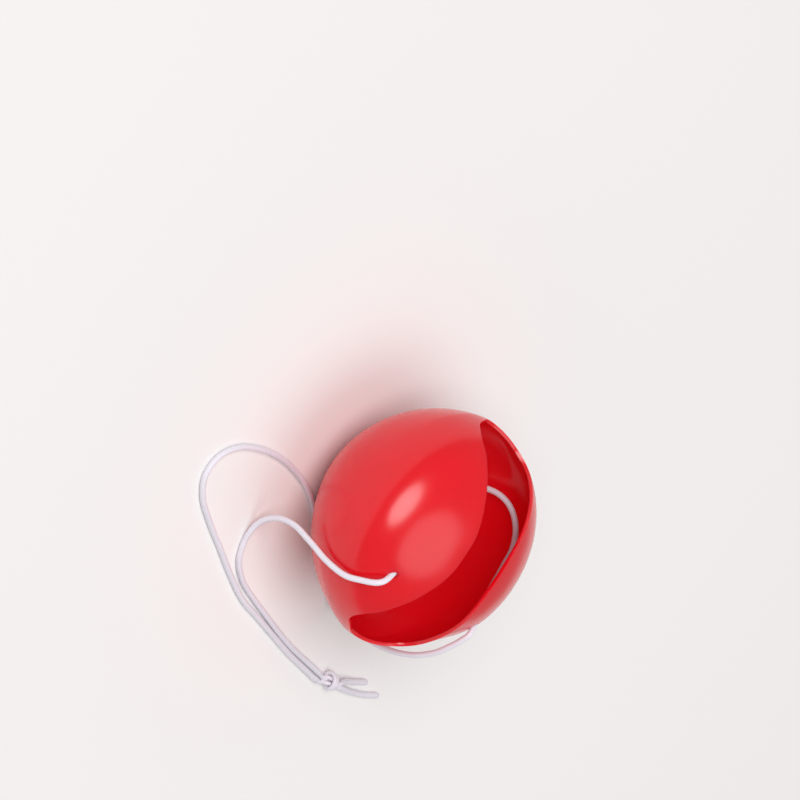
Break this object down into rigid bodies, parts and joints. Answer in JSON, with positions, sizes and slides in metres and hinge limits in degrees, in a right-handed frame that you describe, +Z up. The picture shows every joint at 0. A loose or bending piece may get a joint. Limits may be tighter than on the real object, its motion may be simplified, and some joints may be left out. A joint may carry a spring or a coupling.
{
  "type": "clown nose",
  "caption": "Hollow round costume nose of thin glossy plastic with a long waisted opening at the back and a knotted round elastic.",
  "frame": {"origin": "middle of the small flat on the nose's dome, where the nose rests, at the height of the surface it rests on", "axes": "+Z up, out of the opening that the wearer's nose goes into; +X towards the end of the opening where the elastic's two runs leave; +Y towards the cheek that the longer run leaves"},
  "size_m": [0.0615, 0.0905, 0.0373],
  "materials": {
    "red_plastic": "glossy",
    "white_elastic": "smooth satin"
  },
  "bodies": {
    "root": {"nose_shell": "red_plastic", "elastic_near": "white_elastic", "elastic_far": "white_elastic", "elastic_inside": "white_elastic", "knot": "white_elastic", "tail_short": "white_elastic", "tail_long": "white_elastic"}
  },
  "joints": []
}
